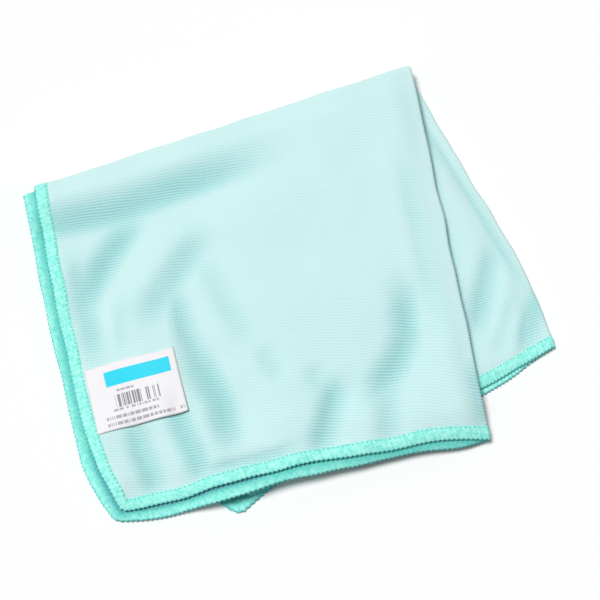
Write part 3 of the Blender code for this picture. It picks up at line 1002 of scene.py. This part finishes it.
class CLOTH_OT_sheet(bpy.types.Operator):
    """Make the folded sheet of ribbed microfibre"""

    bl_idname = "cloth.sheet"
    bl_label = "Ribbed sheet"

    def execute(self, context):
        across_lines = both_ways(stations(HALF_WIDTH, SIDE_RADIUS))
        down_lines = both_ways(stations(HALF_LENGTH, TOP_RADIUS))
        grid, column, row = flat_grid(len(across_lines) - 1, len(down_lines) - 1)
        across, down = round_corners(across_lines[column], down_lines[row])
        points = folded(across, down)
        put_points(grid, points)
        ribs = 0.5 + (down + RIB_SKEW * across) / (2 * HALF_LENGTH)
        paint_map(grid, "sheet", across / (2 * HALF_WIDTH) + 0.5, ribs)
        bmesh.ops.reverse_faces(grid, faces=grid.faces)
        plan = points[:, :2] + FOOTPRINT_CENTRE[:2]
        upper = crease_field(UPPER_CREASES, plan)[1]
        crease_shade = np.where(down < 0, upper, crease_field(FAN_CREASES, plan)[1])
        # Painted shade: in the creases, and under the edges of the layers above
        paint_value(grid, "crease", crease_shade + CONTACT_SHADE * edge_contact_shade(across, down, plan))
        sheet = finish_piece("ribbed_sheet", grid, microfibre_finish(context.scene.cloth_settings))
        wall = sheet.modifiers.new("thickness", "SOLIDIFY")
        wall.thickness = SHEET_THICKNESS * MM
        wall.offset = 0.0
        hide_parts("cloth")
        return {"FINISHED"}


class CLOTH_OT_hem(bpy.types.Operator):
    """Make the overlock stitching that wraps the cloth's edge"""

    bl_idname = "cloth.hem"
    bl_label = "Overlocked hem"

    def execute(self, context):
        edge, out = perimeter()
        count = len(edge)
        depths = np.array(HEM_DEPTHS)
        flat = edge[:, None, :] - out[:, None, :] * depths[None, :, None]
        limit = HALF_WIDTH - depths[None, :, None]
        flat = np.clip(flat, -limit, limit)

        def lay(step_across, step_down):
            places = (flat + (step_across, step_down)).reshape(-1, 2)
            return folded(*places.T).reshape(count, len(depths), 3)

        middle = lay(0.0, 0.0)
        step = HEM_SLOPE_STEP
        up = unit(np.cross(lay(0.0, step) - lay(0.0, -step), lay(step, 0.0) - lay(-step, 0.0)))
        outward = -unit(np.gradient(middle, depths, axis=1))
        section = HEM_SECTION + HEM_SECTION[:1]
        grid, column, row = flat_grid(count - 1, len(section) - 1)
        inset, height, stitch_out, stitch_up = np.array(section)[row].T
        phase = column / STITCH_SAMPLES
        bulge = 0.5 + 0.5 * np.cos(2.0 * math.pi * phase)
        inside = np.clip(inset, 0.0, depths[-1])
        index = np.clip(np.searchsorted(depths, inside, side="right") - 1, 0, len(depths) - 2)
        part = ((inside - depths[index]) / (depths[index + 1] - depths[index]))[:, None]

        def between(values):
            return values[column, index] * (1 - part) + values[column, index + 1] * part

        rise = height + stitch_up * (bulge - 0.5)
        reach = np.clip(-inset, 0.0, None) + stitch_out * (bulge - 0.5)
        points = between(middle) + between(up) * rise[:, None] + between(outward) * reach[:, None]
        put_points(grid, points)
        paint_map(grid, "stitch", phase, inset)
        plan = points[:, :2] + FOOTPRINT_CENTRE[:2]
        # Painted shade on the yarn under the edge of the layer above
        paint_value(grid, "shade", edge_contact_shade(edge[column, 0], edge[column, 1], plan))
        bmesh.ops.remove_doubles(grid, verts=grid.verts, dist=MERGE_DISTANCE * MM)
        bmesh.ops.recalc_face_normals(grid, faces=grid.faces)
        hem = finish_piece("overlocked_hem", grid, yarn_finish(context.scene.hem_settings))
        return {"FINISHED"}


class CLOTH_OT_label(bpy.types.Operator):
    """Make the label that is sewn into the side hem"""

    bl_idname = "cloth.label"
    bl_label = "Label"

    def execute(self, context):
        sheet = bpy.data.objects["ribbed_sheet"]
        surface = BVHTree.FromObject(sheet, context.evaluated_depsgraph_get())
        grid, column, row = flat_grid(LABEL_COLUMNS, LABEL_ROWS)
        right_share, up_share = column / LABEL_COLUMNS, row / LABEL_ROWS
        along = Vector((math.cos(LABEL_TURN), math.sin(LABEL_TURN), 0.0))
        upward = Vector((-along.y, along.x, 0.0))
        high = Vector((*LABEL_CORNER, ABOVE_ALL)) - Vector(FOOTPRINT_CENTRE)
        points = []
        for right, up in zip(right_share, up_share):
            wave = LABEL_WAVE * math.sin(2.0 * math.pi * float(right))
            rise = LABEL_HEIGHT * float(up) + wave
            place = high + along * (LABEL_WIDTH * float(right)) + upward * rise
            hit = surface.ray_cast(place * MM, Vector((0.0, 0.0, -1.0)))[0]
            free = (1.0 - up) ** 3 * min(1.0, right / LABEL_FREE_FROM)
            place.z = hit.z / MM + LABEL_GAP + LABEL_FREE_EDGE_LIFT * free
            points.append(place)
        put_points(grid, points)
        paint_map(grid, "label", right_share, up_share)
        label = finish_piece("printed_label", grid, label_finish(context.scene.label_settings))
        wall = label.modifiers.new("thickness", "SOLIDIFY")
        wall.thickness = LABEL_THICKNESS * MM
        wall.offset = 1.0
        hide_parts("label")
        return {"FINISHED"}


class CLOTH_OT_stage(bpy.types.Operator):
    """Make the pale floor, the soft light and the camera"""

    bl_idname = "cloth.stage"
    bl_label = "Stage"

    def execute(self, context):
        settings = context.scene.stage_settings
        grid = bmesh.new()
        bmesh.ops.create_grid(grid, x_segments=1, y_segments=1, size=FLOOR_HALF_SIZE * MM)
        mesh = bpy.data.meshes.new("floor")
        grid.to_mesh(mesh)
        grid.free()
        floor = bpy.data.objects.new("floor", mesh)
        context.scene.collection.objects.link(floor)
        finish = Finish("pale floor", 0.9, specular=0.1)
        finish.paint(settings.floor_colour)
        mesh.materials.append(finish.material)

        aim = (Vector(CAMERA_AIM) - Vector(FOOTPRINT_CENTRE)) * MM
        world = bpy.data.worlds.new("soft sky")
        world.use_nodes = True
        sky = world.node_tree.nodes["Background"]
        sky.inputs["Color"].default_value = (1.0, 1.0, 1.0, 1.0)
        sky.inputs["Strength"].default_value = settings.sky_strength
        context.scene.world = world

        lamp = bpy.data.lights.new("key light", "SUN")
        lamp.energy = settings.key_strength
        lamp.angle = KEY_SPREAD
        key = bpy.data.objects.new("key light", lamp)
        key.rotation_euler = (-Vector(KEY_FROM)).to_track_quat("-Z", "Y").to_euler()
        context.scene.collection.objects.link(key)

        eye = bpy.data.cameras.new("camera")
        eye.lens = CAMERA_LENS
        eye.sensor_width = SENSOR_WIDTH
        eye.clip_start = NEAREST_SEEN * MM
        camera = bpy.data.objects.new("camera", eye)
        distance = PICTURE_PIXELS * MM_PER_PIXEL * CAMERA_LENS / SENSOR_WIDTH * MM
        way = Vector((0.0, -math.cos(CAMERA_ELEVATION), math.sin(CAMERA_ELEVATION)))
        camera.location = aim + way * distance
        camera.rotation_euler = (-way).to_track_quat("-Z", "Y").to_euler()
        context.scene.collection.objects.link(camera)
        context.scene.camera = camera
        context.scene.view_settings.view_transform = "Standard"
        return {"FINISHED"}


class CLOTH_PT_pieces(bpy.types.Panel):
    """Buttons and settings for the cloth"""

    bl_label = "Microfibre cloth"
    bl_space_type = "VIEW_3D"
    bl_region_type = "UI"
    bl_category = "Cloth"

    def draw(self, context):
        for operator, group in PANEL_ROWS:
            box = self.layout.box()
            box.operator(operator)
            settings = getattr(context.scene, group)
            for name in settings.bl_rna.properties.keys():
                if name not in ("rna_type", "name"):
                    box.prop(settings, name)


SETTINGS = {
    "cloth_settings": ClothSettings,
    "hem_settings": HemSettings,
    "label_settings": LabelSettings,
    "stage_settings": StageSettings,
}
PANEL_ROWS = (
    ("cloth.sheet", "cloth_settings"),
    ("cloth.hem", "hem_settings"),
    ("cloth.label", "label_settings"),
    ("cloth.stage", "stage_settings"),
)
CLASSES = (CLOTH_OT_sheet, CLOTH_OT_hem, CLOTH_OT_label, CLOTH_OT_stage, CLOTH_PT_pieces)


def register():
    for name, kind in SETTINGS.items():
        bpy.utils.register_class(kind)
        setattr(bpy.types.Scene, name, bpy.props.PointerProperty(type=kind))
    for kind in CLASSES:
        bpy.utils.register_class(kind)


def unregister():
    for kind in reversed(CLASSES):
        bpy.utils.unregister_class(kind)
    for name, kind in reversed(SETTINGS.items()):
        delattr(bpy.types.Scene, name)
        bpy.utils.unregister_class(kind)


def main():
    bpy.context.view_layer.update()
    register()
    bpy.ops.cloth.sheet()
    bpy.ops.cloth.hem()
    bpy.ops.cloth.label()
    bpy.ops.cloth.stage()


if __name__ == "__main__":
    main()
